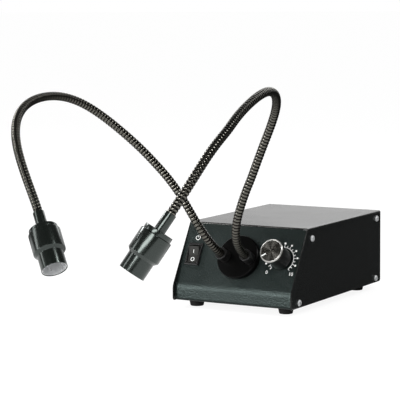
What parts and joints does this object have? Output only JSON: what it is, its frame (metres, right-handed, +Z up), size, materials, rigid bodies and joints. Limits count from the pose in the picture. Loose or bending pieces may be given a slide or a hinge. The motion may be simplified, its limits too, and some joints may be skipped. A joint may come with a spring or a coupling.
{
  "type": "fiber optic illuminator",
  "caption": "Bench fiber optic light source: low metal case with a sloping panel, rocker switch and dimmer knob, and self-holding ribbed light guides that end in focusing heads.",
  "frame": {"origin": "on the bench under the middle of the overall outline, case and heads together", "axes": "+Z up; the case's sloping control panel faces -Y, where both heads reach; +X is to the right of someone facing the panel from the front"},
  "size_m": [0.223, 0.4456, 0.2038],
  "materials": {
    "case_paint": "fine-textured semi-gloss black",
    "screw_steel": "zinc plated",
    "foot_rubber": "matte",
    "black_anodised": "glossy black anodised",
    "socket_black": "moulded black",
    "bright_aluminium": "spun and polished",
    "sink_aluminium": "plain extruded",
    "lens_glass": "polished",
    "fibre_glass": "sleeved fibre bundle",
    "neck_steel": "black oxide, oiled",
    "paddle_black": "moulded black with white marks",
    "board_green": "solder mask",
    "cream_nylon": "moulded",
    "core_steel": "plain",
    "pin_brass": "nickel-free, polished",
    "wire_sleeve": "braided sleeve"
  },
  "bodies": {
    "case": {"base_chassis": "case_paint", "top_cover": "case_paint", "cover_screws": "screw_steel", "rubber_feet": "foot_rubber", "floor_screws": "screw_steel", "light_port": "black_anodised", "port_nut": "black_anodised", "neck_sockets": "socket_black", "guide_common_end": "bright_aluminium", "condenser_lens": "lens_glass", "lens_holder": "black_anodised", "heat_sink": "sink_aluminium", "led_module": "board_green", "fan_frame": "socket_black", "rear_screws": "screw_steel", "power_inlet": "socket_black", "inlet_pins": "pin_brass", "fuse_holder": "socket_black", "fuse_cap": "socket_black", "driver_board": "board_green", "board_standoffs": "cream_nylon", "board_transformer": "core_steel", "board_capacitors": "sink_aluminium", "wiring_harness": "wire_sleeve", "switch_housing": "socket_black", "dimmer_pot": "core_steel", "pot_nut": "core_steel", "left_neck_root_flex": "neck_steel", "left_bundle_root": "fibre_glass", "right_neck_root_flex": "neck_steel", "right_bundle_root": "fibre_glass"},
    "left_lower_arm": {"left_neck_lower_arm": "neck_steel", "left_neck_middle_flex": "neck_steel", "left_bundle_lower": "fibre_glass"},
    "left_upper_arm": {"left_neck_upper_arm": "neck_steel", "left_neck_tip_flex": "neck_steel", "left_bundle_upper": "fibre_glass"},
    "left_head": {"left_head_ferrule": "black_anodised", "left_head_collar": "black_anodised", "left_head_barrel": "black_anodised", "left_head_lens": "lens_glass", "left_head_reflector": "bright_aluminium", "left_bundle_tip": "fibre_glass"},
    "right_lower_arm": {"right_neck_lower_arm": "neck_steel", "right_neck_middle_flex": "neck_steel", "right_bundle_lower": "fibre_glass"},
    "right_upper_arm": {"right_neck_upper_arm": "neck_steel", "right_neck_tip_flex": "neck_steel", "right_bundle_upper": "fibre_glass"},
    "right_head": {"right_head_ferrule": "black_anodised", "right_head_collar": "black_anodised", "right_head_barrel": "black_anodised", "right_head_lens": "lens_glass", "right_head_reflector": "bright_aluminium", "right_bundle_tip": "fibre_glass"},
    "knob": {"dimmer_shaft": "core_steel", "dimmer_knob": "socket_black", "knob_cap": "bright_aluminium"},
    "rocker": {"switch_rocker": "paddle_black"},
    "fan": {"fan_rotor": "socket_black"}
  },
  "joints": [
    {"name": "left_neck_root", "type": "hinge", "parent": "case", "child": "left_lower_arm", "pos_m": [0.00065, 0.01764, 0.06484], "axis": [1, 0, 0], "range_deg": [-12, 8], "deforming": ["left_neck_root_flex"]},
    {"name": "left_neck_middle", "type": "hinge", "parent": "left_lower_arm", "child": "left_upper_arm", "pos_m": [-0.08698, -0.02077, 0.17589], "axis": [-0.6842, -0.0785, -0.725], "range_deg": [-20, 20], "deforming": ["left_neck_middle_flex"]},
    {"name": "left_neck_tip", "type": "hinge", "parent": "left_upper_arm", "child": "left_head", "pos_m": [-0.0625, -0.15758, 0.12279], "axis": [0.5599, 0.8286, 0], "range_deg": [-30, 30], "deforming": ["left_neck_tip_flex"]},
    {"name": "right_neck_root", "type": "hinge", "parent": "case", "child": "right_lower_arm", "pos_m": [0.02949, 0.0173, 0.06463], "axis": [1, 0, 0], "range_deg": [-12, 8], "deforming": ["right_neck_root_flex"]},
    {"name": "right_neck_middle", "type": "hinge", "parent": "right_lower_arm", "child": "right_upper_arm", "pos_m": [0.09062, -0.02484, 0.19055], "axis": [-0.8793, -0.139, 0.4555], "range_deg": [-20, 20], "deforming": ["right_neck_middle_flex"]},
    {"name": "right_neck_tip", "type": "hinge", "parent": "right_upper_arm", "child": "right_head", "pos_m": [0.09874, -0.18361, 0.13392], "axis": [0.6536, -0.7568, 0], "range_deg": [-30, 30], "deforming": ["right_neck_tip_flex"]},
    {"name": "dimmer_turn", "type": "hinge", "parent": "case", "child": "knob", "pos_m": [0.0567, 0.03994, 0.05187], "axis": [0, -0.8861, 0.4634], "range_deg": [-260, 10]},
    {"name": "switch_rock", "type": "hinge", "parent": "case", "child": "rocker", "pos_m": [-0.0316, 0.04913, 0.04571], "axis": [1, 0, 0], "range_deg": [-22, 0]},
    {"name": "fan_spin", "type": "hinge", "parent": "case", "child": "fan", "pos_m": [-0.0116, 0.2163, 0.037], "axis": [0, 1, 0], "continuous": true}
  ]
}
